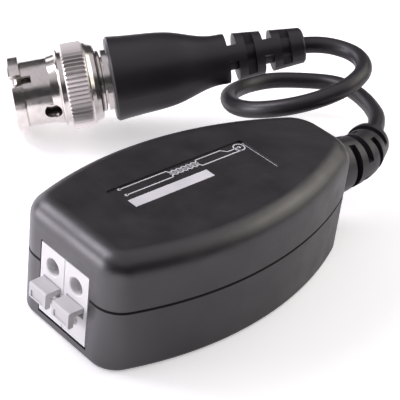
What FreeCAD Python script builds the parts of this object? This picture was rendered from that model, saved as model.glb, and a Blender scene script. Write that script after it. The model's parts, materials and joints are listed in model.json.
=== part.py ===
import FreeCAD, Part
import math
import os

from FreeCAD import Placement, Rotation, Vector

# A passive video balun: a two-half case with a two-way lever terminal block in its front,
# and a short coaxial cord from its rear to a moulded bayonet plug.
# Millimetres. The origin is the centre of the flat underside, +Y runs to the rear, +Z up.

# Case
case_length = 49.5
case_width = 26.7
case_height = 18.0
split_height = 9.9
wall = 1.8
floor = 1.6
front_corner_radius = 4.1
front_corner_turn = 71.0
widest_from_front = 20.4
rear_side_turn = 27.1
rear_corner_radius = 5.8
top_edge_radius = 2.9
bottom_edge_radius = 0.8
shadow_chamfer = 0.2
tongue_thickness = 0.8
tongue_height = 1.0
slip = 0.1

label_width = 8.6
label_length = 25.2
label_from_front = 9.5
label_depth = 0.25
label_corner_radius = 0.6

# Terminal block and its levers
block_width = 10.1
block_bottom = 1.9
block_height = 11.3
block_depth = 11.2
block_front_wall = 1.9
block_side_wall = 0.6
block_roof = 0.8
window_gap = 0.2
window_sill_gap = 0.4
pole_pitch = 5.0
pole_groove = 0.1
wire_hole_radius = 1.3
wire_hole_height = 10.35
wire_funnel = 0.12
test_hole_radius = 0.75
test_hole_height = 4.9
test_hole_depth = 1.2

lever_width = 3.6
lever_thickness = 0.85
lever_top = 8.0
lever_reach = 2.4
lip_thickness = 0.9
lip_bottom = 5.45
lip_recess_depth = 0.15
lip_recess_margin = 0.45
hub_radius = 0.9
hub_behind_face = 2.75
pivot_pin_radius = 0.5
pivot_pin_length = 0.3
lever_arm_length = 2.1
lever_arm_width = 0.9
lever_play = 0.05
lever_slot_top = 8.15
lever_slot_bottom = 6.1

strip_width = 3.0
strip_reach = 5.5
spring_tip_reach = 2.6
spring_strip = 0.3
contact_strip = 0.6
solder_pin_width = 0.8

# Circuit board and what stands on it
board_width = 13.6
board_length = 33.4
board_thickness = 1.0
board_underside = 2.8
board_corner = 1.5
board_edge_gap = 0.1
post_radius = 1.3
post_inset = 1.6
core_outer_radius = 4.9
core_inner_radius = 2.5
core_height = 4.4
core_edge_radius = 0.3
core_from_front = 21.5
winding_turns = 10
winding_wire_radius = 0.3
suppressor_radius = 1.9
suppressor_length = 5.0
capacitor_radius = 2.4
capacitor_thickness = 1.6
resistor_radius = 0.95
resistor_length = 5.2
component_lead_radius = 0.28

# Case screws
screw_spacing = 12.4
screw_from_rear = 10.2
screw_head_radius = 1.9
screw_head_height = 1.4
screw_shank_radius = 1.1
screw_length = 9.6
screw_seat_height = 3.2
screw_recess_width = 0.5
screw_boss_radius = 2.6

# Cord: the corners of its route, chosen by hand, from inside the case to inside the plug
cord_diameter = 2.8
cord_arc_share = 0.45
cord_route = [
    (0.0, 20.8, 9.9), (0.0, 27.0, 9.9), (0.15, 33.3, 9.6), (-5.5, 44.45, 9.6), (-11.7, 49.05, 8.55),
    (-17.8, 51.55, 7.7), (-22.0, 51.8, 7.0), (-26.05, 49.8, 6.15), (-30.3, 45.05, 5.7),
    (-31.45, 40.1, 5.7), (-30.45, 35.5, 6.35), (-27.9, 30.9, 7.7), (-22.85, 27.05, 9.4),
    (-17.65, 25.9, 11.45), (-12.4, 28.15, 13.8), (-8.9, 32.5, 15.8), (-7.8, 37.85, 17.15),
    (-9.8, 43.95, 17.7), (-15.7, 47.45, 17.2), (-22.04, 44.71, 16.84), (-24.28, 41.03, 15.95)]
lead_core_radius = 0.55
lead_braid_radius = 0.62
lead_spread = 0.7
lead_landing_spread = 2.4
lead_drop = 3.2
lead_landing_from_board_rear = 2.0

# Strain relief of the case
relief_length = 14.0
relief_base_radius = 4.6
relief_tip_radius = 3.2
relief_core_radius = 2.2
relief_flange_radius = 5.7
relief_flange_thickness = 1.4
saddle_thickness = 1.3
saddle_half_width = 6.6
slot_pitch = 2.65
slot_width = 1.45
slot_web = 2.6
first_slot = 4.05
case_slot_count = 4

# Plug: distances run along its axis from the middle of the knurl, positive to the cord
plug_tail = 38.58
plug_tail_gap = 2.4
nut_front = -10.8
nut_rear = 3.6
lip_ring_radius = 6.5
lip_ring_length = 1.85
sleeve_radius = 5.45
sleeve_end = -4.4
step_radius = 5.85
step_length = 1.45
collar_radius = 6.5
collar_length = 0.45
collar_groove_radius = 6.0
knurl_radius = 7.2
knurl_front = -1.9
knurl_rear = 1.86
knurl_ridges = 60
knurl_depth = 0.3
knurl_edge = 0.35
shoulder_radius = 6.2
nut_bore_radius = 4.85
nut_web_front = 1.55
nut_edge = 0.25
shoulder_rim = 0.9
bayonet_slot_width = 2.1
bayonet_entry_length = 3.5
bayonet_groove_depth = 0.4
bayonet_turn = 61.0
bayonet_hole_radius = 1.42
bayonet_hole_place = -4.6
bayonet_roll = -54.0
outer_contact_radius = 4.05
outer_contact_wall = 0.6
outer_contact_front = -10.0
contact_slit_width = 0.5
contact_slit_length = 6.2
flange_radius = 4.8
flange_front = -1.2
flange_rear = 0.0
neck_radius = 4.0
rear_collar_radius = 5.1
rear_collar_front = 4.65
rear_collar_rear = 5.6
boot_key_radius = 4.2
spigot_radius = 2.3
spigot_bore_radius = 1.2
spigot_front = 7.5
spigot_rear = 14.1
insulator_front = -5.5
insulator_rear = 4.0
pin_radius = 0.68
pin_front = -9.6
pin_rear = 5.5
pin_pot_radius = 1.0
ferrule_wall = 0.55
ferrule_length = 7.4
gasket_thickness = 1.1
wave_count = 3
wave_strip = 0.25
wave_height = 1.0
washer_thickness = 0.4
ring_thickness = 0.7
ring_radius = 5.15
play = 0.05
boot_front_radius = 7.1
boot_front_edge = 0.4
boot_belly = 10.8
boot_belly_radius = 6.65
boot_slot_width = 1.6
boot_waist = 16.8
boot_waist_radius = 5.93
boot_neck = 21.8
boot_neck_radius = 4.45
boot_relief_start = 24.8
boot_relief_radius = 4.22
boot_tip_radius = 3.0
boot_core_radius = 2.1
boot_first_slot = 26.2
boot_slot_pitch = 3.05
boot_slot_count = 4
boot_slot_roll = 46.0

front = -case_length / 2
rear = case_length / 2
block_top = block_bottom + block_height
board_top = board_underside + board_thickness
board_front = front + block_front_wall + board_edge_gap
board_rear = board_front + board_length
cord_radius = cord_diameter / 2


def box(x0, x1, y0, y1, z0, z1):
    """A block between two corners."""
    return Part.makeBox(x1 - x0, y1 - y0, z1 - z0, Vector(x0, y0, z0))


def rod(radius, start, end):
    """A round bar from one point to another."""
    start, end = Vector(start), Vector(end)
    return Part.makeCylinder(radius, (end - start).Length, start, end - start)


def fused(shapes):
    """Several overlapping shapes as one clean solid."""
    shapes = list(shapes)
    return shapes[0].multiFuse(shapes[1:]).removeSplitter()


def extruded(points, axis):
    """A prism on a closed polygon."""
    return Part.Face(Part.makePolygon(points + points[:1])).extrude(axis)


def turned(profile):
    """A body of revolution about Y, from (radius, place) corners in order."""
    points = [Vector(radius, place, 0) for radius, place in profile]
    face = Part.Face(Part.makePolygon(points + points[:1]))
    return face.revolve(Vector(0, 0, 0), Vector(0, 1, 0), 360)


def tube_ring(outer, inner, start, end):
    """A plain ring about Y."""
    return turned([(inner, start), (outer, start), (outer, end), (inner, end)])


def mirrored(shape):
    """The same shape on the other side of the middle plane."""
    return shape.mirror(Vector(0, 0, 0), Vector(1, 0, 0))


def rounded(solid, radius, picks):
    """Rounds the edges of a solid that a test picks."""
    return solid.makeFillet(radius, [edge for edge in solid.Edges if picks(edge)])


def lies_at(height):
    """A test for edges that lie flat at one height."""
    return lambda edge: max(abs(v.Z - height) for v in edge.Vertexes) < 1e-6


# Case

def case_outline(inset, height):
    """The plan curve of the case, a chain of tangent arcs, drawn inside the outer wall."""
    corner, rear_turn = math.radians(front_corner_turn), math.radians(rear_side_turn)
    front_side = (widest_from_front - front_corner_radius * (1 - math.cos(corner))) / math.cos(corner)
    rear_span = case_length - widest_from_front - rear_corner_radius * (1 - math.sin(rear_turn))
    rear_side = rear_span / math.sin(rear_turn)
    half_flat = (case_width / 2 - front_corner_radius * math.sin(corner)
                 - front_side * (1 - math.sin(corner)))
    headings = [0, corner, math.pi / 2, math.pi / 2 + rear_turn, math.pi]
    radii = [front_corner_radius, front_side, rear_side, rear_corner_radius]
    right = []
    x, y = half_flat, front + inset
    for radius, start, end in zip(radii, headings, headings[1:]):
        r = radius - inset
        centre = Vector(x - r * math.sin(start), y + r * math.cos(start), height)
        points = [centre + Vector(math.sin(h), -math.cos(h), 0) * r
                  for h in (start, (start + end) / 2, end)]
        right.append(Part.Arc(*points).toShape())
        x, y = points[2].x, points[2].y
    left = [mirrored(edge) for edge in right]
    front_flat = Part.makeLine(Vector(-half_flat, front + inset, height),
                               Vector(half_flat, front + inset, height))
    rear_flat = Part.makeLine(Vector(x, y, height), Vector(-x, y, height))
    return Part.Wire(Part.__sortEdges__([front_flat, rear_flat] + right + left))


def case_block(inset, bottom, top):
    """The case's plan, drawn in by an inset, between two heights."""
    return Part.Face(case_outline(inset, bottom)).extrude(Vector(0, 0, top - bottom))


def window():
    """The opening in the front wall for the terminal block."""
    half = block_width / 2 + window_gap
    return box(-half, half, front - 1, front + wall + tongue_thickness,
               block_bottom - window_sill_gap, block_top + window_gap)


def relief_seat():
    """The round way through the rear wall and its saddle, with the flange's groove."""
    inner_rear = rear - wall
    through = rod(relief_base_radius + slip / 2, (0, inner_rear - 5, split_height),
                  (0, rear + 1, split_height))
    groove_rear = inner_rear - saddle_thickness / 2
    groove_front = groove_rear - relief_flange_thickness - slip
    groove = rod(relief_flange_radius + slip / 2, (0, groove_front, split_height),
                 (0, groove_rear, split_height))
    return through.fuse(groove)


def saddle(bottom, top):
    """The ribs behind the rear wall that hold the strain relief's flange."""
    deep = saddle_thickness * 1.5 + relief_flange_thickness + slip
    ribs = box(-saddle_half_width, saddle_half_width, rear - wall - deep, rear - wall / 2, bottom, top)
    return ribs.common(case_block(wall / 2, bottom, top))


def screw_places():
    return [Vector(side * screw_spacing / 2, rear - screw_from_rear, 0) for side in (-1, 1)]


def post_places():
    """Where the board rests on the lower half and is held down by the upper one."""
    x = board_width / 2 - post_inset
    rows = (board_front + block_depth + post_inset, board_rear - post_inset)
    return [Vector(side * x, y, 0) for side in (-1, 1) for y in rows]


def lower_shell():
    shell = case_block(0, 0, split_height)
    shell = rounded(shell, bottom_edge_radius, lies_at(0))
    rim = [edge for edge in shell.Edges if lies_at(split_height)(edge)]
    shell = shell.makeChamfer(shadow_chamfer, rim)
    shell = shell.cut(case_block(wall, floor, split_height + 1))
    tongue = case_block(wall - tongue_thickness, split_height - 0.5, split_height + tongue_height)
    tongue = tongue.cut(case_block(wall, 0, case_height))
    posts = [rod(post_radius, place + Vector(0, 0, floor / 2), place + Vector(0, 0, board_underside))
             for place in post_places()]
    bosses = [rod(screw_boss_radius, place, place + Vector(0, 0, split_height))
              for place in screw_places()]
    bosses = [boss.common(case_block(wall / 2, 0, split_height)) for boss in bosses]
    shell = fused([shell, tongue, saddle(floor / 2, split_height)] + posts + bosses)
    for place in screw_places():
        shell = shell.cut(rod(screw_head_radius + 2 * slip, place - Vector(0, 0, 1),
                              place + Vector(0, 0, screw_seat_height)))
        shell = shell.cut(rod(screw_shank_radius + slip, place, place + Vector(0, 0, case_height)))
    return shell.cut(window()).cut(relief_seat())


def upper_shell():
    shell = case_block(0, split_height, case_height)
    shell = rounded(shell, top_edge_radius, lies_at(case_height))
    rim = [edge for edge in shell.Edges if lies_at(split_height)(edge)]
    shell = shell.makeChamfer(shadow_chamfer, rim)
    hollow = case_block(wall, split_height - 1, case_height - wall)
    shell = shell.cut(rounded(hollow, top_edge_radius - wall, lies_at(case_height - wall)))
    rebate_height = split_height + tongue_height + slip
    shell = shell.cut(case_block(wall - tongue_thickness - slip, split_height - 1, rebate_height))
    inside_top = case_height - wall / 2
    posts = [rod(post_radius, place + Vector(0, 0, board_top + play), place + Vector(0, 0, inside_top))
             for place in post_places()]
    boss_inset = screw_boss_radius - wall / 2
    bosses = [rod(boss_inset, place + Vector(0, 0, split_height + play), place + Vector(0, 0, inside_top))
              for place in screw_places()]
    inner_space = case_block(wall + slip / 2, split_height, rebate_height)
    ribs = saddle(split_height + play, inside_top)
    ribs = ribs.cut(box(-case_width, case_width, front, rear, 0, rebate_height)).fuse(
        ribs.common(inner_space))
    shell = fused([shell, ribs] + posts + bosses)
    for place in screw_places():
        end = screw_seat_height + screw_length + 2 * slip
        shell = shell.cut(rod(screw_shank_radius + play / 2, place, place + Vector(0, 0, end)))
    return shell.cut(window()).cut(relief_seat()).cut(label_recess())


def label_recess():
    """The shallow rectangular field on the top."""
    recess = box(-label_width / 2, label_width / 2, front + label_from_front,
                 front + label_from_front + label_length, case_height - label_depth, case_height + 1)
    return rounded(recess, label_corner_radius,
                   lambda edge: abs(edge.Vertexes[0].Z - edge.Vertexes[-1].Z) > 1)


def case_screw(place):
    """A self-tapping screw from below, with a cross recess."""
    seat = place + Vector(0, 0, screw_seat_height)
    under = seat - Vector(0, 0, screw_head_height)
    head = rod(screw_head_radius, under, seat)
    head = rounded(head, screw_head_height / 3, lies_at(under.z))
    shank = rod(screw_shank_radius, under, seat + Vector(0, 0, screw_length))
    screw = fused([head, shank])
    half, long = screw_recess_width / 2, screw_head_radius * 0.6
    for w, l in ((half, long), (long, half)):
        screw = screw.cut(box(place.x - w, place.x + w, place.y - l, place.y + l,
                              under.z - 1, under.z + screw_head_height * 0.6))
    return screw


# Terminal block

def terminal_block_body():
    """The moulded body with, for each pole, a wire hole, a lever slot, a test hole and a chamber."""
    half = block_width / 2
    body = box(-half, half, front, front + block_depth, block_bottom, block_top)
    body = body.cut(box(-half - 1, half + 1, front + block_front_wall, front + block_depth + 1,
                        block_bottom - 1, board_top))
    body = body.cut(box(-pole_groove, pole_groove, front - 1, front + pole_groove,
                        block_bottom - 1, block_top + 1))
    inside = front + block_front_wall
    chamber_half = half - block_side_wall - pole_pitch / 2
    for side in (-1, 1):
        x = side * pole_pitch / 2
        body = body.cut(box(x - chamber_half, x + chamber_half, inside, front + block_depth + 1,
                            board_top + block_roof, block_top - block_roof))
        body = body.cut(rod(wire_hole_radius, (x, front - 1, wire_hole_height),
                            (x, inside + 1, wire_hole_height)))
        mouth = Part.makeCone(wire_hole_radius + wire_funnel, wire_hole_radius, wire_funnel,
                              Vector(x, front, wire_hole_height), Vector(0, 1, 0))
        body = body.cut(mouth)
        body = body.cut(rod(test_hole_radius, (x, front - 1, test_hole_height),
                            (x, front + test_hole_depth, test_hole_height)))
        slot_half = lever_width / 2 + slip
        body = body.cut(box(x - slot_half, x + slot_half, front - 1, inside + 1,
                            lever_slot_bottom, lever_slot_top))
        hub = hub_centre()
        reach = lever_width / 2 + pivot_pin_length + play
        body = body.cut(rod(pivot_pin_radius + play, (x - reach, hub.y, hub.z), (x + reach, hub.y, hub.z)))
        pin_half = solder_pin_width / 2 + play
        pin_y = front + block_depth - contact_strip
        body = body.cut(box(x - pin_half, x + pin_half, pin_y - contact_strip - play, pin_y + contact_strip,
                            board_top - 1, board_top + block_roof + 1))
    return body


def hub_centre():
    """The middle of a lever's pivot, in the plane of the pole."""
    return Vector(0, front + hub_behind_face, lever_top - lever_thickness / 2)


def lever(side):
    """A release lever: a plate with a hanging lip outside, a hub and a pushing arm inside."""
    x0 = side * pole_pitch / 2 - lever_width / 2
    x1 = x0 + lever_width
    tip = front - lever_reach
    hub = hub_centre()
    plate = box(x0, x1, tip, hub.y, lever_top - lever_thickness, lever_top)
    lip = box(x0, x1, tip, tip + lip_thickness, lip_bottom, lever_top)
    outside = rounded(fused([plate, lip]), lever_thickness / 3,
                      lambda edge: all(abs(v.Y - tip) < 1e-6 for v in edge.Vertexes)
                      and abs(edge.Vertexes[0].Z - edge.Vertexes[-1].Z) < 1e-6)
    margin = lip_recess_margin
    outside = outside.cut(box(x0 + margin, x1 - margin, tip - 1, tip + lip_recess_depth,
                              lip_bottom + margin, lever_top - lever_thickness - margin / 2))
    barrel = rod(hub_radius, (x0, hub.y, hub.z), (x1, hub.y, hub.z))
    pins = rod(pivot_pin_radius, (x0 - pivot_pin_length, hub.y, hub.z), (x1 + pivot_pin_length, hub.y, hub.z))
    arm_half = lever_arm_width / 2
    arm = box(x0, x1, hub.y - arm_half, hub.y + arm_half, hub.z - lever_arm_length, hub.z)
    return fused([outside, barrel, pins, arm])


def clamp_spring(side):
    """The bent leaf that presses the wire up; its front bend is what the lever's arm pushes."""
    x = side * pole_pitch / 2 - strip_width / 2
    base = board_top + block_roof + play
    bend_y = hub_centre().y + lever_arm_width / 2 + lever_play
    back_y = front + block_depth - 3 * contact_strip
    tip_y = bend_y + spring_tip_reach
    tip_z = wire_hole_height - wire_hole_radius - lever_play
    t = spring_strip
    points = [(back_y, base), (bend_y + 0.5, base), (bend_y, base + 0.5), (bend_y, base + 1.4),
              (tip_y, tip_z), (tip_y + t, tip_z - t), (bend_y + t, base + 1.4 - t / 2),
              (bend_y + t, base + 0.7), (bend_y + 0.7, base + t), (back_y, base + t)]
    return extruded([Vector(x, y, z) for y, z in points], Vector(strip_width, 0, 0))


def contact_bar(side):
    """The tinned bar that the wire is pressed against, running down as the solder pin."""
    centre = side * pole_pitch / 2
    x0, x1 = centre - strip_width / 2, centre + strip_width / 2
    top = block_top - block_roof - play
    back = front + block_depth - contact_strip
    bar = box(x0, x1, back - strip_reach, back, top - contact_strip, top)
    drop = box(x0, x1, back - contact_strip, back, board_top + block_roof + play, top)
    pin_half = solder_pin_width / 2
    pin = box(centre - pin_half, centre + pin_half, back - contact_strip, back,
              board_underside - 0.8, board_top + block_roof + 2 * play)
    return fused([bar, drop, pin])


# Circuit board

def circuit_board():
    """The board, with the solder pins' holes and round rear corners, clear of the screws' bosses."""
    half = board_width / 2
    board = box(-half, half, board_front, board_rear, board_underside, board_top)
    board = rounded(board, board_corner, lambda edge: edge.Vertexes[0].Y > board_rear - 1e-6
                    and abs(edge.Vertexes[0].Z - edge.Vertexes[-1].Z) > 1e-6)
    back = front + block_depth - contact_strip
    for side in (-1, 1):
        x = side * pole_pitch / 2
        board = board.cut(rod(solder_pin_width * 0.75, (x, back - contact_strip / 2, 0),
                              (x, back - contact_strip / 2, case_height)))
    for place in screw_places():
        board = board.cut(rod(screw_boss_radius + play, place, place + Vector(0, 0, case_height)))
    return board


def core_centre():
    return Vector(0, front + core_from_front, board_top + winding_wire_radius * 2 + play)


def transformer_core():
    """The ferrite ring, flat above the board."""
    centre = core_centre()
    ring = Part.makeCylinder(core_outer_radius, core_height, centre)
    ring = ring.cut(Part.makeCylinder(core_inner_radius, core_height, centre))
    return ring.makeChamfer(core_edge_radius, ring.Edges)


def transformer_winding():
    """Enamelled turns round the ring, each a closed loop standing across it."""
    gap = winding_wire_radius + play / 2
    x0, x1 = core_inner_radius - gap, core_outer_radius + gap
    z0, z1 = -gap, core_height + gap
    corners = [Vector(x0, 0, z0), Vector(x1, 0, z0), Vector(x1, 0, z1), Vector(x0, 0, z1)]
    middle = (corners[0] + corners[1]) / 2
    path = Part.makePolygon([middle] + corners[1:] + [corners[0], middle])
    ring = Part.Wire(Part.makeCircle(winding_wire_radius, middle, Vector(1, 0, 0)))
    turn = path.makePipeShell([ring], True, True, 1)
    centre = core_centre()
    turns = []
    for number in range(winding_turns):
        copy = turn.copy()
        copy.rotate(Vector(0, 0, 0), Vector(0, 0, 1), 360 * (number + 0.5) / winding_turns)
        copy.translate(centre)
        turns.append(copy)
    return Part.makeCompound(turns)


def leaded(radius, length, centre):
    """A round body lying across the board on two bent leads."""
    body = rod(radius, centre - Vector(length / 2, 0, 0), centre + Vector(length / 2, 0, 0))
    reach = length / 2 + 2.2 * component_lead_radius
    lead = rod(component_lead_radius, centre - Vector(reach, 0, 0), centre + Vector(reach, 0, 0))
    legs = [rod(component_lead_radius, (centre.x + side * reach, centre.y, board_top),
                (centre.x + side * reach, centre.y, centre.z + component_lead_radius))
            for side in (-1, 1)]
    return fused([body, lead] + legs)


def surge_suppressor():
    """The two-wire suppressor across the line, behind the terminal block."""
    place = Vector(0, front + block_depth + suppressor_radius + 0.8, board_top + suppressor_radius + 0.2)
    return leaded(suppressor_radius, suppressor_length, place)


def matching_resistor():
    """The resistor behind the transformer."""
    y = core_centre().y + core_outer_radius + 2 * winding_wire_radius + resistor_radius + 0.6
    return leaded(resistor_radius, resistor_length, Vector(0, y, board_top + resistor_radius + 0.2))


def disc_capacitor():
    """A ceramic disc standing across the board."""
    y = matching_resistor().BoundBox.YMax + capacitor_thickness / 2 + 0.5
    centre = Vector(0, y, board_top + capacitor_radius + 0.6)
    disc = rod(capacitor_radius, centre - Vector(0, capacitor_thickness / 2, 0),
               centre + Vector(0, capacitor_thickness / 2, 0))
    legs = [rod(component_lead_radius, (side * 1.25, y, board_top), (side * 1.25, y, centre.z))
            for side in (-1, 1)]
    return fused([disc] + legs)


# Cord

def rounded_route(points):
    """Straight runs joined by tangent arcs, as a list of edges, and the arcs' radii."""
    points = [Vector(*p) for p in points]
    edges, radii = [], []
    at = points[0]
    for before, corner, after in zip(points, points[1:], points[2:]):
        back, on = before - corner, after - corner
        half_turn = (math.pi - back.getAngle(on)) / 2
        radius = cord_arc_share * min(back.Length, on.Length) / math.tan(half_turn)
        back.normalize()
        on.normalize()
        reach = radius * math.tan(half_turn)
        start, end = corner + back * reach, corner + on * reach
        middle_way = (back + on).normalize()
        middle = corner + middle_way * (radius / math.cos(half_turn) - radius)
        edges.append(Part.LineSegment(at, start).toShape())
        edges.append(Part.Arc(start, middle, end).toShape())
        radii.append(radius)
        at = end
    edges.append(Part.LineSegment(at, points[-1]).toShape())
    return edges, radii


def round_tube(edges, radius):
    """A round bar along a chain of edges."""
    start = edges[0].valueAt(edges[0].FirstParameter)
    tangent = edges[0].tangentAt(edges[0].FirstParameter)
    ring = Part.Wire(Part.makeCircle(radius, start, tangent))
    return Part.Wire(edges).makePipeShell([ring], True, False)


def place_along(edges, distance):
    """The point and direction at a distance along a chain of edges."""
    for edge in edges:
        if distance <= edge.Length:
            parameter = edge.getParameterByLength(distance)
            return edge.valueAt(parameter), edge.tangentAt(parameter)
        distance -= edge.Length
    last = edges[-1]
    return last.valueAt(last.LastParameter), last.tangentAt(last.LastParameter)


route_edges, route_radii = rounded_route(cord_route)
signal_cord = round_tube(route_edges, cord_radius)
inside_length = rear - cord_route[0][1]


def inner_lead(side, radius):
    """The core or the twisted braid, from the jacket's end to the board."""
    jacket_end = Vector(*cord_route[0])
    x0, x1 = side * lead_spread, side * lead_landing_spread
    landing_y = board_rear - lead_landing_from_board_rear
    y0 = jacket_end.y
    high, low = jacket_end.z, jacket_end.z - lead_drop
    points = [(x0, y0, high), (x0, y0 - lead_drop, high), (x1, landing_y + lead_drop, high - lead_drop / 4),
              (x1, landing_y, low), (x1, landing_y, board_top)]
    edges, _ = rounded_route(points)
    return round_tube(edges, radius)


def slot_cutter(core_radius, outer_radius, width, roll):
    """A slab about Y, open on two opposite sides, that leaves the core and two webs."""
    slab = tube_ring(outer_radius, core_radius, -width / 2, width / 2)
    web = box(-slot_web / 2, slot_web / 2, -width, width, -outer_radius, outer_radius)
    slab = slab.cut(web)
    slab.rotate(Vector(0, 0, 0), Vector(0, 1, 0), roll)
    return slab


def frame_on(point, direction):
    """A placement that turns +Y to a direction at a point."""
    return Placement(point, Rotation(Vector(0, 1, 0), direction))


def cord_strain_relief():
    """The ribbed sleeve on the case, curved with the cord, its flange held by the saddle."""
    groove_rear = rear - wall - saddle_thickness / 2 - slip / 2
    start = groove_rear - relief_flange_thickness
    total = rear + relief_length - start
    begin = start - cord_route[0][1]
    sections = []
    steps = 9
    for number in range(steps + 1):
        share = number / steps
        reach = share * total
        taper = max(0.0, (reach - (rear - start)) / relief_length)
        radius = relief_base_radius + (relief_tip_radius - relief_base_radius) * taper
        point, direction = place_along(route_edges, begin + reach)
        sections.append(Part.Wire(Part.makeCircle(radius, point, direction)))
    body = Part.makeLoft(sections, True, False)
    flange = rod(relief_flange_radius, (0, start, split_height),
                 (0, start + relief_flange_thickness, split_height))
    body = fused([body, flange])
    for number in range(case_slot_count):
        reach = inside_length + first_slot + number * slot_pitch
        point, direction = place_along(route_edges, reach)
        cutter = slot_cutter(relief_core_radius, relief_base_radius + 2, slot_width, 90 * (number % 2))
        cutter.Placement = frame_on(point, direction).multiply(cutter.Placement)
        body = body.cut(cutter)
    return body.cut(signal_cord)


# Plug

plug_axis = (Vector(*cord_route[-2]) - Vector(*cord_route[-1])).normalize()
plug_origin = Vector(*cord_route[-2]) - plug_axis * (plug_tail + plug_tail_gap)
plug_frame = frame_on(plug_origin, plug_axis)


def on_plug(shape):
    """A shape modelled about +Y, moved to the plug's place."""
    moved = shape.copy()
    moved.Placement = plug_frame.multiply(moved.Placement)
    return moved


def knurl():
    """The ridged grip: a toothed prism inside a barrel with broken edges."""
    points = []
    for number in range(2 * knurl_ridges):
        radius = knurl_radius if number % 2 else knurl_radius - knurl_depth
        angle = math.pi * number / knurl_ridges
        points.append(Vector(radius * math.cos(angle), knurl_front, radius * math.sin(angle)))
    prism = extruded(points, Vector(0, knurl_rear - knurl_front, 0))
    low = knurl_radius - knurl_edge
    barrel = turned([(0, knurl_front), (low, knurl_front), (knurl_radius, knurl_front + knurl_edge),
                     (knurl_radius, knurl_rear - knurl_edge), (low, knurl_rear), (0, knurl_rear)])
    return prism.common(barrel)


def coupling_sleeve():
    """The bayonet nut: lip, sleeve, collar, knurl and shoulder, with two bayonet ways."""
    lip_rear = nut_front + lip_ring_length
    edge = nut_edge
    collar_front = sleeve_end + step_length
    collar_rear = collar_front + collar_length
    low = knurl_radius - knurl_edge
    outline = [(0, nut_front), (lip_ring_radius - edge, nut_front), (lip_ring_radius, nut_front + edge),
               (lip_ring_radius, lip_rear), (sleeve_radius, lip_rear + edge), (sleeve_radius, sleeve_end),
               (step_radius - edge, sleeve_end), (step_radius, collar_front - edge / 2),
               (collar_radius - edge, collar_front), (collar_radius, collar_front + edge),
               (collar_radius, collar_rear), (collar_groove_radius, collar_rear),
               (collar_groove_radius, knurl_rear), (low, knurl_rear),
               (low, knurl_rear + edge), (shoulder_radius + edge, nut_rear - shoulder_rim),
               (shoulder_radius, nut_rear - edge), (shoulder_radius - edge, nut_rear), (0, nut_rear)]
    nut = fused([turned(outline), knurl()])
    nut = nut.cut(rod(nut_bore_radius, (0, nut_front - 1, 0), (0, nut_web_front, 0)))
    nut = nut.cut(rod(neck_radius + play, (0, nut_web_front - 1, 0), (0, nut_rear + 1, 0)))
    bore_edge = Part.makeCone(nut_bore_radius + edge, nut_bore_radius, edge,
                              Vector(0, nut_front, 0), Vector(0, 1, 0))
    nut = nut.cut(bore_edge)
    half = bayonet_slot_width / 2
    entry = box(nut_bore_radius / 2, lip_ring_radius + 1, nut_front - 1,
                nut_front + bayonet_entry_length, -half, half)
    hole = rod(bayonet_hole_radius, (nut_bore_radius / 2, bayonet_hole_place, 0),
               (lip_ring_radius + 1, bayonet_hole_place, 0))
    steps = 5
    for opposite in (0, 180):
        way = entry.copy()
        way.rotate(Vector(0, 0, 0), Vector(0, 1, 0), bayonet_roll + opposite)
        nut = nut.cut(way)
        detent = hole.copy()
        detent.rotate(Vector(0, 0, 0), Vector(0, 1, 0), bayonet_roll + bayonet_turn + opposite)
        nut = nut.cut(detent)
        for step in range(steps + 1):
            share = step / steps
            place = nut_front + bayonet_entry_length - half
            place += share * (bayonet_hole_place - place)
            ramp = rod(half, (nut_bore_radius / 2, place, 0),
                       (nut_bore_radius + bayonet_groove_depth, place, 0))
            ramp.rotate(Vector(0, 0, 0), Vector(0, 1, 0), bayonet_roll + share * bayonet_turn + opposite)
            nut = nut.cut(ramp)
    return nut


def plug_body():
    """The turned body: slotted outer contact, flange, neck, rear collar and crimp spigot."""
    inner = outer_contact_radius - outer_contact_wall
    body = turned([(inner, outer_contact_front), (outer_contact_radius - 0.15, outer_contact_front),
                   (outer_contact_radius, outer_contact_front + 0.3), (outer_contact_radius, flange_front),
                   (flange_radius, flange_front), (flange_radius, flange_rear),
                   (neck_radius, flange_rear), (neck_radius, rear_collar_front),
                   (rear_collar_radius, rear_collar_front), (rear_collar_radius, rear_collar_rear),
                   (boot_key_radius, rear_collar_rear), (boot_key_radius, spigot_front),
                   (spigot_radius, spigot_front),
                   (spigot_radius, spigot_rear), (spigot_bore_radius, spigot_rear),
                   (spigot_bore_radius, insulator_rear), (inner, insulator_rear)])
    half = contact_slit_width / 2
    slit_end = outer_contact_front + contact_slit_length
    reach = outer_contact_radius + 1
    for w, l in ((half, reach), (reach, half)):
        body = body.cut(box(-w, w, outer_contact_front - 1, slit_end, -l, l))
    return body


def plug_insulator():
    """The white insulator in the plug's body, round the centre pin."""
    outer = outer_contact_radius - outer_contact_wall - play / 2
    return turned([(pin_radius + play / 2, insulator_front), (outer, insulator_front),
                   (outer, insulator_rear - play), (pin_pot_radius + play / 2, insulator_rear - play),
                   (pin_pot_radius + play / 2, 0), (pin_radius + play / 2, 0)])


def centre_pin():
    """The centre contact, with a rounded tip and a crimp pot behind."""
    pin = turned([(0, pin_front), (pin_radius, pin_front), (pin_radius, play), (pin_pot_radius, play),
                  (pin_pot_radius, pin_rear), (0, pin_rear)])
    return rounded(pin, pin_radius * 0.7, lambda edge: abs(edge.BoundBox.YMax - pin_front) < 1e-6)


def bayonet_gasket():
    outer = nut_bore_radius - play
    return tube_ring(outer, outer_contact_radius + play, flange_front - gasket_thickness - play,
                     flange_front - play / 2)


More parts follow.
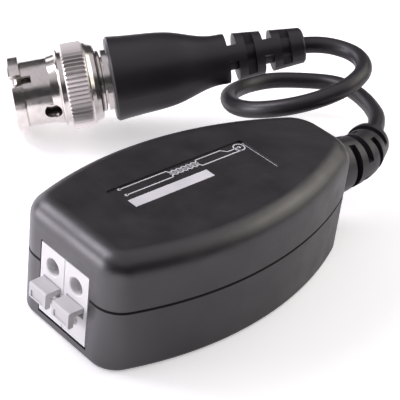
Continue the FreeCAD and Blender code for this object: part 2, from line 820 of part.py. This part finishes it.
def wave_spring():
    """The waved washer between the body's flange and the nut's washer."""
    inner, outer = neck_radius + play, flange_radius - play
    slabs = []
    pieces = 12 * wave_count
    rise = wave_height - wave_strip
    for number in range(pieces):
        a0, a1 = (2 * math.pi * (number + end) / pieces for end in (0, 1))
        corners = []
        for angle in (a0, a1):
            lift = flange_rear + play + rise * (1 - math.cos(wave_count * angle)) / 2
            corners.append((angle, lift))
        rings = []
        for angle, lift in corners:
            points = [Vector(r * math.cos(angle), lift + high, r * math.sin(angle))
                      for r, high in ((inner, 0), (outer, 0), (outer, wave_strip), (inner, wave_strip))]
            rings.append(Part.makePolygon(points + points[:1]))
        slabs.append(Part.makeLoft(rings, True, True))
    return fused(slabs)


def slip_washer():
    start = flange_rear + play + wave_height + play
    return tube_ring(flange_radius - play, neck_radius + play, start, start + washer_thickness)


def retaining_ring():
    """The ring that keeps the nut on the body, seen between nut and boot."""
    start = nut_rear + play
    return turned([(neck_radius, start), (ring_radius - 0.2, start), (ring_radius, start + 0.2),
                   (ring_radius, start + ring_thickness - 0.2), (ring_radius - 0.2, start + ring_thickness),
                   (neck_radius, start + ring_thickness)])


def crimp_ferrule():
    start = spigot_front + 4 * play
    return tube_ring(spigot_radius + ferrule_wall, spigot_radius, start, start + ferrule_length)


def cord_end():
    """The cord's end inside the boot: its jacket, then the bared core up to the centre pin."""
    boot_side = (Vector(*cord_route[-1]) - plug_origin).dot(plug_axis)
    core_radius = spigot_bore_radius - play
    bared = spigot_rear + play
    return turned([(0, pin_rear), (core_radius, pin_rear), (core_radius, bared), (cord_radius, bared),
                   (cord_radius, boot_side), (0, boot_side)])


def plug_boot():
    """The moulded boot round the plug's rear, tapering to a segmented relief."""
    tip = plug_tail
    outline = [(0, rear_collar_rear), (boot_front_radius - boot_front_edge, rear_collar_rear),
               (boot_front_radius, rear_collar_rear + boot_front_edge)]
    profile = [Part.makePolygon([Vector(r, y, 0) for r, y in outline]).Edges]
    taper = Part.BSplineCurve()
    taper.interpolate([Vector(boot_front_radius, rear_collar_rear + boot_front_edge, 0),
                       Vector(boot_belly_radius, boot_belly, 0),
                       Vector(boot_waist_radius, boot_waist, 0),
                       Vector(boot_neck_radius, boot_neck, 0),
                       Vector(boot_relief_radius, boot_relief_start, 0)])
    tail = Part.makePolygon([Vector(boot_relief_radius, boot_relief_start, 0),
                             Vector(boot_tip_radius, tip - 0.3, 0), Vector(boot_tip_radius - 0.3, tip, 0),
                             Vector(0, tip, 0), Vector(0, rear_collar_rear, 0)]).Edges
    edges = profile[0] + [taper.toShape()] + tail
    face = Part.Face(Part.Wire(edges))
    boot = face.revolve(Vector(0, 0, 0), Vector(0, 1, 0), 360)
    for number in range(boot_slot_count):
        cutter = slot_cutter(boot_core_radius, boot_front_radius, boot_slot_width,
                             boot_slot_roll + 90 * (number % 2))
        cutter.translate(Vector(0, boot_first_slot + number * boot_slot_pitch, 0))
        boot = boot.cut(cutter)
    boot = boot.cut(rod(boot_key_radius, (0, 0, 0), (0, spigot_front, 0)))
    boot = boot.cut(rod(spigot_radius, (0, 0, 0), (0, spigot_rear, 0)))
    ferrule = crimp_ferrule()
    boot = boot.cut(ferrule).cut(cord_end())
    return on_plug(boot).cut(signal_cord)


parts = {
    "upper_shell": upper_shell(),
    "lower_shell": lower_shell(),
    "case_screw_left": case_screw(screw_places()[0]),
    "case_screw_right": case_screw(screw_places()[1]),
    "terminal_block_body": terminal_block_body(),
    "lever_left": lever(-1),
    "lever_right": lever(1),
    "clamp_spring_left": clamp_spring(-1),
    "clamp_spring_right": clamp_spring(1),
    "contact_bar_left": contact_bar(-1),
    "contact_bar_right": contact_bar(1),
    "circuit_board": circuit_board(),
    "transformer_core": transformer_core(),
    "transformer_winding": transformer_winding(),
    "surge_suppressor": surge_suppressor(),
    "matching_resistor": matching_resistor(),
    "disc_capacitor": disc_capacitor(),
    "core_lead": inner_lead(1, lead_core_radius),
    "braid_lead": inner_lead(-1, lead_braid_radius),
    "cord_strain_relief": cord_strain_relief(),
    "signal_cord": signal_cord,
    "cord_end": on_plug(cord_end()),
    "crimp_ferrule": on_plug(crimp_ferrule()),
    "plug_boot": plug_boot(),
    "plug_body": on_plug(plug_body()),
    "plug_insulator": on_plug(plug_insulator()),
    "centre_pin": on_plug(centre_pin()),
    "bayonet_gasket": on_plug(bayonet_gasket()),
    "wave_spring": on_plug(wave_spring()),
    "slip_washer": on_plug(slip_washer()),
    "coupling_sleeve": on_plug(coupling_sleeve()),
    "retaining_ring": on_plug(retaining_ring()),
}

os.makedirs("parts", exist_ok=True)
for name, shape in parts.items():
    if not shape.isValid():
        print("not valid:", name)
    shape.exportStep("parts/" + name + ".step")

cord_length = sum(edge.Length for edge in route_edges)
print("cord length", round(cord_length, 1), "volume share",
      round(signal_cord.Volume / (math.pi * cord_radius ** 2 * cord_length), 4))
print("arc radii", [round(radius, 1) for radius in route_radii])
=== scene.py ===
import json
import math

import bmesh
import bpy
from mathutils import Matrix, Vector

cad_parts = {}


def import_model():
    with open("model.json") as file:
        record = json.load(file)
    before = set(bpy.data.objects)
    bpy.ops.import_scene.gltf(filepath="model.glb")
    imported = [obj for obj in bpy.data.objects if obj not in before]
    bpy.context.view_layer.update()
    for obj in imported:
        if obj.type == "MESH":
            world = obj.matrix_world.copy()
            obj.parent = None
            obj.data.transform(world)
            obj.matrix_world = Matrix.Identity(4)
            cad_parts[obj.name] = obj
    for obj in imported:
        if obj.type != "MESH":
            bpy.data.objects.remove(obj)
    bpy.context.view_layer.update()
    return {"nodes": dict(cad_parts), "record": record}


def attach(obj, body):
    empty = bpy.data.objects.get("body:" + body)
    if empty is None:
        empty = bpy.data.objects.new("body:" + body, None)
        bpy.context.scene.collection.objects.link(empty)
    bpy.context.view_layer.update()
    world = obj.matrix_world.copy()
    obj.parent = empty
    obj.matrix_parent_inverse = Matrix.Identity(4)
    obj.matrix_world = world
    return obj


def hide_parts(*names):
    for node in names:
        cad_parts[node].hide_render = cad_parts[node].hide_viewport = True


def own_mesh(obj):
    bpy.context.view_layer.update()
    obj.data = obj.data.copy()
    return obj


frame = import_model()
nodes = frame["nodes"]

MM = 0.001
UP = (0.0, 0.0, 1.0)

# The case's parting line: its height, and how far the painted shade in its groove reaches above and below
PARTING_HEIGHT = 9.9 * MM
PARTING_REACH = 0.23 * MM

# The plug's axis runs from the mouth to the cord, and the knurl's middle lies on it
CORD_CORNER = Vector((-22.04, 44.71, 16.84)) * MM
CORD_END = Vector((-24.28, 41.03, 15.95)) * MM
PLUG_AXIS = (CORD_CORNER - CORD_END).normalized()
PLUG = tuple(PLUG_AXIS)
CORNER_TO_KNURL = 40.98
KNURL_MIDDLE = CORD_CORNER - PLUG_AXIS * CORNER_TO_KNURL * MM
KNURL_REACH = 1.9 * MM


# Materials

# Moulded surfaces: their clouds, patches and waves, in grains, and how far the roughness varies
CLOUD_GRAINS = 60
PATCH_GRAINS = 18
WAVE_GRAINS = 25
MOULDED_VARIES = (-0.05, 0.06)
COAT_ROUGHNESS = 0.2

# Light under the surface: how deep it goes, and the share of that for red, green and blue
SCATTER_DEPTH = 0.6 * MM
SCATTER_SHARES = (1.0, 0.95, 0.92)

# Metals: their marks' sizes and depths in metres, and how far the roughness varies
STAIN_SIZE = 0.0021
SMEAR_SIZE = 0.0009
SCRATCH_SIZE = 0.0003
SCRATCH_DEPTH = 0.0000012
TURNING_PITCH = 0.00012
TURNING_DEPTH = 0.0000022
METAL_VARIES = (-0.04, 0.08)

# The groove at the parting line is painted black as shade and made fully rough; the knurl is rougher than
# the nut, and paler as painted light
PARTING_GROOVE_PAINTED_SHADE = (0.002, 0.002, 0.002)
GROOVE_ROUGHNESS = 1.0
KNURL_PAINTED_LIGHT_COLOUR = (0.77, 0.735, 0.71)
KNURL_ROUGHNESS = 0.34


def new_material(name):
    material = bpy.data.materials.new(name)
    material.use_nodes = True
    tree = material.node_tree
    return material, tree, tree.nodes["Principled BSDF"]


def place_coordinates(tree):
    return tree.nodes.new("ShaderNodeTexCoord").outputs["Object"]


def noise(tree, vector, grain, detail=3.0):
    """Noise with grains of a size in metres."""
    node = tree.nodes.new("ShaderNodeTexNoise")
    node.inputs["Scale"].default_value = 1.0 / grain
    node.inputs["Detail"].default_value = detail
    tree.links.new(vector, node.inputs["Vector"])
    return node.outputs["Fac"]


def spread(tree, value, low, high, start=0.3, end=0.7):
    """Maps a value from one range to another; the first range is that of a noise unless it is given."""
    node = tree.nodes.new("ShaderNodeMapRange")
    node.inputs["From Min"].default_value = start
    node.inputs["From Max"].default_value = end
    node.inputs["To Min"].default_value = low
    node.inputs["To Max"].default_value = high
    tree.links.new(value, node.inputs["Value"])
    return node.outputs["Result"]


def tint(tree, factor, low, high):
    """A colour between two, by a factor."""
    node = tree.nodes.new("ShaderNodeMix")
    node.data_type = "RGBA"
    node.inputs["A"].default_value = (*low, 1)
    node.inputs["B"].default_value = (*high, 1)
    tree.links.new(factor, node.inputs["Factor"])
    return node.outputs["Result"]


def bump(tree, height, depth, before=None):
    """A bump of a depth in metres."""
    node = tree.nodes.new("ShaderNodeBump")
    node.inputs["Distance"].default_value = depth
    node.inputs["Strength"].default_value = 1.0
    tree.links.new(height, node.inputs["Height"])
    if before:
        tree.links.new(before, node.inputs["Normal"])
    return node.outputs["Normal"]


def measure(tree, vector, operation, other):
    """One number for a place: its dot product with a direction, or its distance from a point."""
    node = tree.nodes.new("ShaderNodeVectorMath")
    node.operation = operation
    node.inputs[1].default_value = other
    tree.links.new(vector, node.inputs[0])
    return node.outputs["Value"]


def combine(tree, operation, first, second):
    """Two values joined by an operation."""
    node = tree.nodes.new("ShaderNodeMath")
    node.operation = operation
    tree.links.new(first, node.inputs[0])
    tree.links.new(second, node.inputs[1])
    return node.outputs[0]


def moulded(name, low, high, rough, grain, depth, specular=0.5, coat=0.0, subsurface=0.0):
    """Moulded plastic or rubber: cloudy colour, uneven gloss and a fine spark-eroded grain."""
    material, tree, shader = new_material(name)
    at = place_coordinates(tree)
    clouds = noise(tree, at, CLOUD_GRAINS * grain)
    tree.links.new(tint(tree, spread(tree, clouds, 0, 1), low, high), shader.inputs["Base Color"])
    patches = noise(tree, at, PATCH_GRAINS * grain, detail=5.0)
    glossy, dull = (rough + change for change in MOULDED_VARIES)
    tree.links.new(spread(tree, patches, glossy, dull), shader.inputs["Roughness"])
    waves = bump(tree, noise(tree, at, WAVE_GRAINS * grain), depth * 2)
    fine = noise(tree, at, grain, detail=2.0)
    tree.links.new(bump(tree, fine, depth, waves), shader.inputs["Normal"])
    shader.inputs["Specular IOR Level"].default_value = specular
    shader.inputs["Coat Weight"].default_value = coat
    shader.inputs["Coat Roughness"].default_value = COAT_ROUGHNESS
    shader.inputs["Subsurface Weight"].default_value = subsurface
    shader.inputs["Subsurface Scale"].default_value = SCATTER_DEPTH
    shader.inputs["Subsurface Radius"].default_value = SCATTER_SHARES
    return material


def turned_metal(name, low, high, rough, axis):
    """Plated or bare metal with fine turning lines round an axis, stains and small scratches."""
    material, tree, shader = new_material(name)
    shader.inputs["Metallic"].default_value = 1.0
    at = place_coordinates(tree)
    stains = noise(tree, at, STAIN_SIZE, detail=4.0)
    tree.links.new(tint(tree, spread(tree, stains, 0, 1), low, high), shader.inputs["Base Color"])
    smears = noise(tree, at, SMEAR_SIZE, detail=5.0)
    glossy, dull = (rough + change for change in METAL_VARIES)
    tree.links.new(spread(tree, smears, glossy, dull), shader.inputs["Roughness"])
    lines = tree.nodes.new("ShaderNodeTexNoise")
    lines.noise_dimensions = "1D"
    lines.inputs["Scale"].default_value = 1.0 / TURNING_PITCH
    lines.inputs["Detail"].default_value = 2.0
    tree.links.new(measure(tree, at, "DOT_PRODUCT", axis), lines.inputs["W"])
    turned = bump(tree, lines.outputs["Fac"], TURNING_DEPTH)
    scratches = noise(tree, at, SCRATCH_SIZE)
    tree.links.new(bump(tree, scratches, SCRATCH_DEPTH, turned), shader.inputs["Normal"])
    return material


def change_band(material, axis, middle, reach, colour, rough):
    """Another colour and roughness in a band, given by its middle along an axis and its reach each way."""
    tree = material.node_tree
    shader = tree.nodes["Principled BSDF"]
    band = tree.nodes.new("ShaderNodeMath")
    band.operation = "COMPARE"
    band.inputs[1].default_value = middle
    band.inputs[2].default_value = reach
    along = measure(tree, place_coordinates(tree), "DOT_PRODUCT", axis)
    tree.links.new(along, band.inputs[0])
    for name, kind, value in (("Base Color", "RGBA", (*colour, 1)), ("Roughness", "FLOAT", rough)):
        socket = shader.inputs[name]
        blend = tree.nodes.new("ShaderNodeMix")
        blend.data_type = kind
        blend.inputs["B"].default_value = value
        tree.links.new(band.outputs[0], blend.inputs["Factor"])
        tree.links.new(socket.links[0].from_socket, blend.inputs["A"])
        tree.links.new(blend.outputs["Result"], socket)


# Darkest and palest colour, then roughness, the grain's size and its depth, or the turning lines' axis
FINISH = {
    "case_black": moulded("case_black", (0.009, 0.0078, 0.0094), (0.0135, 0.0117, 0.0142),
                          0.4, 0.00022, 0.000006, specular=0.9),
    "soft_black": moulded("soft_black", (0.014, 0.0125, 0.015), (0.022, 0.0195, 0.023),
                          0.4, 0.0003, 0.000008),
    "terminal_white": moulded("terminal_white", (0.8, 0.8, 0.8), (0.86, 0.86, 0.85),
                              0.42, 0.0002, 0.000004, subsurface=0.15),
    "lever_grey": moulded("lever_grey", (0.56, 0.56, 0.565), (0.62, 0.62, 0.62),
                          0.4, 0.0002, 0.000004),
    "insulator_white": moulded("insulator_white", (0.8, 0.8, 0.78), (0.87, 0.87, 0.86),
                               0.35, 0.0002, 0.000003),
    "gasket_rubber": moulded("gasket_rubber", (0.22, 0.05, 0.03), (0.3, 0.08, 0.05),
                             0.6, 0.0002, 0.000006),
    "lead_insulation": moulded("lead_insulation", (0.72, 0.72, 0.68), (0.82, 0.82, 0.78),
                               0.45, 0.0002, 0.000004),
    "board_green": moulded("board_green", (0.02, 0.16, 0.06), (0.03, 0.22, 0.09),
                           0.35, 0.0003, 0.000004, coat=0.4),
    "component_body": moulded("component_body", (0.05, 0.14, 0.4), (0.08, 0.2, 0.5),
                              0.3, 0.0003, 0.000004, coat=0.5),
    "ferrite": moulded("ferrite", (0.05, 0.05, 0.05), (0.09, 0.085, 0.08),
                       0.7, 0.0002, 0.00001),
    "nickel": turned_metal("nickel", (0.58, 0.555, 0.52), (0.72, 0.69, 0.65), 0.17, PLUG),
    "gold_contact": turned_metal("gold_contact", (0.85, 0.6, 0.25), (0.95, 0.72, 0.34), 0.16, PLUG),
    "tinned_copper": turned_metal("tinned_copper", (0.68, 0.67, 0.64), (0.8, 0.79, 0.76), 0.28, UP),
    "spring_steel": turned_metal("spring_steel", (0.5, 0.5, 0.5), (0.62, 0.62, 0.62), 0.25, UP),
    "screw_steel": turned_metal("screw_steel", (0.22, 0.22, 0.22), (0.34, 0.34, 0.34), 0.3, UP),
    "enamelled_copper": turned_metal("enamelled_copper", (0.5, 0.16, 0.05), (0.66, 0.26, 0.1),
                                     0.25, UP),
}
# Pale ink for the label's print, also used for the painted highlight on the recess's rear edge
ink_and_painted_highlight = moulded("ink_and_painted_highlight", (0.62, 0.62, 0.64), (0.78, 0.78, 0.8), 0.5, 0.00012, 0.000003)

# Painted shade: a black, fully rough band along the parting groove
change_band(FINISH["case_black"], UP, PARTING_HEIGHT, PARTING_REACH, PARTING_GROOVE_PAINTED_SHADE, GROOVE_ROUGHNESS)
# Painted light: a paler, rougher band of the nickel round the knurl
change_band(FINISH["nickel"], PLUG, KNURL_MIDDLE.dot(PLUG_AXIS), KNURL_REACH,
            KNURL_PAINTED_LIGHT_COLOUR, KNURL_ROUGHNESS)

for subpart in frame["record"]["subparts"]:
    node = nodes[subpart["node"]]
    node.data.materials.clear()
    node.data.materials.append(FINISH[subpart["material_slot"]])


# Springs: each is a copy of its solid's shape, fixed to the case


def pressed_spring(name):
    spring = bpy.data.objects.new(name + "_pressed", nodes[name].data.copy())
    bpy.context.scene.collection.objects.link(spring)
    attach(spring, "case")
    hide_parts(name)
    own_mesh(spring)
    return spring


for side in ("left", "right"):
    leaf = f"clamp_spring_{side}"
    pressed_spring(leaf)
wave = pressed_spring("wave_spring")


# Cord

CORD_DIAMETER = 2.8 * MM
CORD_ROUTE = [
    (0.0, 20.8, 9.9), (0.0, 27.0, 9.9), (0.15, 33.3, 9.6), (-5.5, 44.45, 9.6), (-11.7, 49.05, 8.55),
    (-17.8, 51.55, 7.7), (-22.0, 51.8, 7.0), (-26.05, 49.8, 6.15), (-30.3, 45.05, 5.7),
    (-31.45, 40.1, 5.7), (-30.45, 35.5, 6.35), (-27.9, 30.9, 7.7), (-22.85, 27.05, 9.4),
    (-17.65, 25.9, 11.45), (-12.4, 28.15, 13.8), (-8.9, 32.5, 15.8), (-7.8, 37.85, 17.15),
    (-9.8, 43.95, 17.7), (-15.7, 47.45, 17.2), (-22.04, 44.71, 16.84), (-24.28, 41.03, 15.95)]


def cord_curve():
    """The cord as one smooth spline on the route's points."""
    curve = bpy.data.curves.new("cord", "CURVE")
    curve.dimensions = "3D"
    curve.bevel_depth = CORD_DIAMETER / 2
    curve.bevel_resolution = 8
    curve.resolution_u = 24
    curve.use_fill_caps = True
    spline = curve.splines.new("NURBS")
    spline.points.add(len(CORD_ROUTE) - 1)
    for point, place in zip(spline.points, CORD_ROUTE):
        point.co = (*(Vector(place) * MM), 1.0)
    spline.order_u = 3
    spline.use_endpoint_u = True
    cord = bpy.data.objects.new("cord", curve)
    bpy.context.scene.collection.objects.link(cord)
    curve.materials.append(FINISH["soft_black"])
    return cord


cord = cord_curve()
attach(cord, "case")
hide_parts("signal_cord")


# Label print on the recess's floor, with a painted highlight along its rear edge

# Sizes in millimetres: a bare bar, a painted highlight along the recess's rear edge and a plain wiring
# sketch
PRINT_HEIGHT = 17.756
LINE_WIDTH = 0.2
BAR_LINE = [(-0.3, -13.7), (-0.3, 0.55)]
BAR_WIDTH = 1.8
REAR_EDGE_PAINTED_HIGHLIGHT = [(3.70, 9.79), (-3.70, 9.79)]
REAR_EDGE_HIGHLIGHT_WIDTH = 0.13
SKETCH_CENTRE = -3.1
SKETCH_FRONT, SKETCH_REAR = -13.0, 9.6
WIRE_OFFSET = 0.8
TURN_RADIUS = 0.45
COIL_FRONT, COIL_TURNS = -4.6, 6
COIL_REAR = COIL_FRONT + 2 * TURN_RADIUS * COIL_TURNS
CORE_OFFSET = 0.12
CORE_WIDTH = 0.1
BEND_FRONT, BEND_REAR = 5.6, 6.4
JACK_RADIUS = 0.85
DOT_RADIUS = 0.27


def arc_points(x, y, radius, start, end, steps=18):
    """Points on an arc; angles in degrees from +X towards +Y."""
    angles = [math.radians(start + (end - start) * step / steps) for step in range(steps + 1)]
    return [(x + radius * math.cos(angle), y + radius * math.sin(angle)) for angle in angles]


def stroke(mesh, points, width=LINE_WIDTH):
    """A line of even width through points, flat on the label, for the print and for the painted highlight.
    """
    sides = []
    for number, point in enumerate(points):
        before = Vector(points[max(number - 1, 0)])
        after = Vector(points[min(number + 1, len(points) - 1)])
        along = (after - before).normalized()
        across = Vector((-along.y, along.x)) * (width / 2)
        sides.append([mesh.verts.new((*((Vector(point) + across * way) * MM), PRINT_HEIGHT * MM))
                      for way in (1, -1)])
    for (left, right), (next_left, next_right) in zip(sides, sides[1:]):
        mesh.faces.new((left, right, next_right, next_left))


def dot(mesh, x, y):
    ring = [mesh.verts.new((px * MM, py * MM, PRINT_HEIGHT * MM))
            for px, py in arc_points(x, y, DOT_RADIUS, 0, 345, 23)]
    mesh.faces.new(ring)


def wiring_sketch(mesh):
    """Two wires from two dots, through a coil each with a core between, to the ring and dot of a jack."""
    jack = SKETCH_REAR - JACK_RADIUS - LINE_WIDTH / 2
    for way in (-1, 1):
        line = SKETCH_CENTRE + way * WIRE_OFFSET
        dot(mesh, line, SKETCH_FRONT)
        wire = [(line, SKETCH_FRONT)]
        for turn in range(COIL_TURNS):
            centre = COIL_FRONT + TURN_RADIUS * (2 * turn + 1)
            wire += [(line - way * dx, dy) for dx, dy in arc_points(0, centre, TURN_RADIUS, 270, 450)]
        if way < 0:
            wire += [(line, BEND_FRONT), (SKETCH_CENTRE, BEND_REAR), (SKETCH_CENTRE, jack)]
        else:
            wire.append((line, jack - math.sqrt(JACK_RADIUS ** 2 - WIRE_OFFSET ** 2)))
        stroke(mesh, wire)
        core = SKETCH_CENTRE + way * CORE_OFFSET
        stroke(mesh, [(core, COIL_FRONT), (core, COIL_REAR)], CORE_WIDTH)
    stroke(mesh, arc_points(SKETCH_CENTRE, jack, JACK_RADIUS, 0, 360, 36))
    dot(mesh, SKETCH_CENTRE, jack)


def label_print_and_painted_highlight():
    mesh = bmesh.new()
    stroke(mesh, BAR_LINE, BAR_WIDTH)
    # A pale line painted as the highlight on the recess's rear edge
    stroke(mesh, REAR_EDGE_PAINTED_HIGHLIGHT, REAR_EDGE_HIGHLIGHT_WIDTH)
    wiring_sketch(mesh)
    mesh.normal_update()
    for face in mesh.faces:
        if face.normal.z < 0:
            face.normal_flip()
    data = bpy.data.meshes.new("label_print_and_painted_highlight")
    mesh.to_mesh(data)
    mesh.free()
    label = bpy.data.objects.new("label_print_and_painted_highlight", data)
    bpy.context.scene.collection.objects.link(label)
    data.materials.append(ink_and_painted_highlight)
    return label


label = label_print_and_painted_highlight()
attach(label, "case")


# Floor

FLOOR_SIZE = 4.0
FLOOR_HEIGHT = -0.02 * MM
FLOOR_SHADE = (0.9, 0.9, 0.9)

# What is added to it where it is seen directly, so that it is white round the object's shadow
FLOOR_LIFT = 0.42

# Its glow in reflections rises along a direction, between two distances from the case's middle
GLOW_DIRECTION = (-0.5, -0.87, 0.0)
GLOW_START, GLOW_FULL = 0.005, 0.032
GLOW_FAR, GLOW_NEAR = 0.12, 1.0
GLOW_COLOUR = (0.96, 0.91, 1.0)

# A pool of glow round the plug's foot, even out to one distance and gone at the other
PLUG_FOOT = (-0.047, 0.012, 0.0)
POOL_GLOW = 0.7
POOL_EVEN, POOL_EDGE = 0.012, 0.022


def floor():
    """A pale floor, brighter in reflections on the side of the soft front light and under the plug."""
    bpy.ops.mesh.primitive_plane_add(size=FLOOR_SIZE, location=(0, 0, FLOOR_HEIGHT))
    plane = bpy.context.object
    plane.name = "floor"
    material, tree, shader = new_material("floor")
    shader.inputs["Base Color"].default_value = (*FLOOR_SHADE, 1)
    shader.inputs["Roughness"].default_value = 0.7
    shader.inputs["Specular IOR Level"].default_value = 0.2
    at = place_coordinates(tree)
    toward = measure(tree, at, "DOT_PRODUCT", GLOW_DIRECTION)
    side_glow = spread(tree, toward, GLOW_FAR, GLOW_NEAR, GLOW_START, GLOW_FULL)
    away = measure(tree, at, "DISTANCE", PLUG_FOOT)
    pool_glow = spread(tree, away, POOL_GLOW, 0, POOL_EVEN, POOL_EDGE)
    glow = combine(tree, "MAXIMUM", side_glow, pool_glow)
    path = tree.nodes.new("ShaderNodeLightPath")
    reflected = path.outputs["Is Glossy Ray"]
    strength = tree.nodes.new("ShaderNodeMath")
    strength.operation = "MULTIPLY_ADD"
    strength.inputs[1].default_value = FLOOR_LIFT
    tree.links.new(path.outputs["Is Camera Ray"], strength.inputs[0])
    tree.links.new(combine(tree, "MULTIPLY", reflected, glow), strength.inputs[2])
    tree.links.new(tint(tree, reflected, (1, 1, 1), GLOW_COLOUR), shader.inputs["Emission Color"])
    tree.links.new(strength.outputs[0], shader.inputs["Emission Strength"])
    plane.data.materials.append(material)


# World

# The dome is dark below one height of view and pale above the other, as the sine of the angle up
DOME_DARK, DOME_PALE = 0.065, 0.72
DOME_DARK_BELOW, DOME_PALE_ABOVE = 0.6, 0.82
DOME_COLOUR = (0.97, 0.92, 1.0)


def world():
    """White behind the object; for its light and its reflections, dark low down and pale overhead."""
    backdrop = bpy.data.worlds.new("studio")
    bpy.context.scene.world = backdrop
    backdrop.use_nodes = True
    tree = backdrop.node_tree
    background = tree.nodes["Background"]
    path = tree.nodes.new("ShaderNodeLightPath")
    seen = combine(tree, "MAXIMUM", path.outputs["Is Camera Ray"], path.outputs["Is Transmission Ray"])
    direction = tree.nodes.new("ShaderNodeSeparateXYZ")
    tree.links.new(tree.nodes.new("ShaderNodeTexCoord").outputs["Generated"], direction.inputs[0])
    dome = tree.nodes.new("ShaderNodeMapRange")
    dome.interpolation_type = "SMOOTHSTEP"
    dome.inputs["From Min"].default_value = DOME_DARK_BELOW
    dome.inputs["From Max"].default_value = DOME_PALE_ABOVE
    dome.inputs["To Min"].default_value = DOME_DARK
    dome.inputs["To Max"].default_value = DOME_PALE
    tree.links.new(direction.outputs["Z"], dome.inputs["Value"])
    level = tree.nodes.new("ShaderNodeMix")
    level.inputs["B"].default_value = 1.0
    tree.links.new(seen, level.inputs["Factor"])
    tree.links.new(dome.outputs["Result"], level.inputs["A"])
    tree.links.new(tint(tree, seen, DOME_COLOUR, (1, 1, 1)), background.inputs["Color"])
    tree.links.new(level.outputs["Result"], background.inputs["Strength"])


# Lights

# Each soft light's place, target and size in metres, its power in watts and its colour
LIGHTS = {
    "key": ((-0.26, -0.15, 0.27), (0, 0, 0), (0.16, 0.2), 0.8, (0.96, 0.9, 1.0)),
    "front": ((-0.3, -0.38, 0.1), (0, 0, 0.01), (0.3, 0.18), 1.35, (0.97, 0.92, 1.0)),
    "left": ((-0.4, 0.02, 0.12), (0, 0, 0.01), (0.2, 0.2), 0.25, (0.97, 0.93, 1.0)),
    "back": ((0.02, 0.28, 0.23), (0, 0, 0.01), (0.3, 0.14), 0.24, (1.0, 0.95, 0.88)),
    "rear": ((0.14, 0.3, 0.17), (0, 0, 0.01), (0.3, 0.22), 0.36, (1.0, 0.95, 0.88)),
}


def area_light(name, place, target, size, power, colour):
    light = bpy.data.lights.new(name, "AREA")
    light.color = colour
    light.shape = "RECTANGLE"
    light.size, light.size_y = size
    light.energy = power
    lamp = bpy.data.objects.new(name, light)
    lamp.location = place
    lamp.rotation_euler = (Vector(target) - Vector(place)).to_track_quat("-Z", "Y").to_euler()
    bpy.context.scene.collection.objects.link(lamp)


# Camera

# How far it is turned to the right, raised and rolled, in degrees, where it is, and its lens
CAMERA_TURN = 44.21
CAMERA_RISE = 33.21
CAMERA_ROLL = 7.05
CAMERA_PLACE = Vector((109.09, -113.34, 116.34)) * MM
CAMERA_SENSOR = 36.0
CAMERA_LENS = 120.03


def camera():
    """The photograph's view."""
    turn, rise, roll = (math.radians(angle) for angle in (CAMERA_TURN, CAMERA_RISE, CAMERA_ROLL))
    back = Vector((math.sin(turn) * math.cos(rise), -math.cos(turn) * math.cos(rise), math.sin(rise)))
    level = (-back).cross(Vector(UP)).normalized()
    upright = level.cross(-back)
    right = level * math.cos(roll) + upright * math.sin(roll)
    up = upright * math.cos(roll) - level * math.sin(roll)
    lens = bpy.data.cameras.new("camera")
    lens.sensor_width = CAMERA_SENSOR
    lens.lens = CAMERA_LENS
    lens.clip_start = 0.005
    eye = bpy.data.objects.new("camera", lens)
    rotation = Matrix((right, up, back)).transposed().to_4x4()
    eye.matrix_world = Matrix.Translation(CAMERA_PLACE) @ rotation
    bpy.context.scene.collection.objects.link(eye)
    bpy.context.scene.camera = eye


floor()
world()
for name, values in LIGHTS.items():
    area_light(name, *values)
camera()
bpy.context.scene.view_settings.view_transform = "Standard"
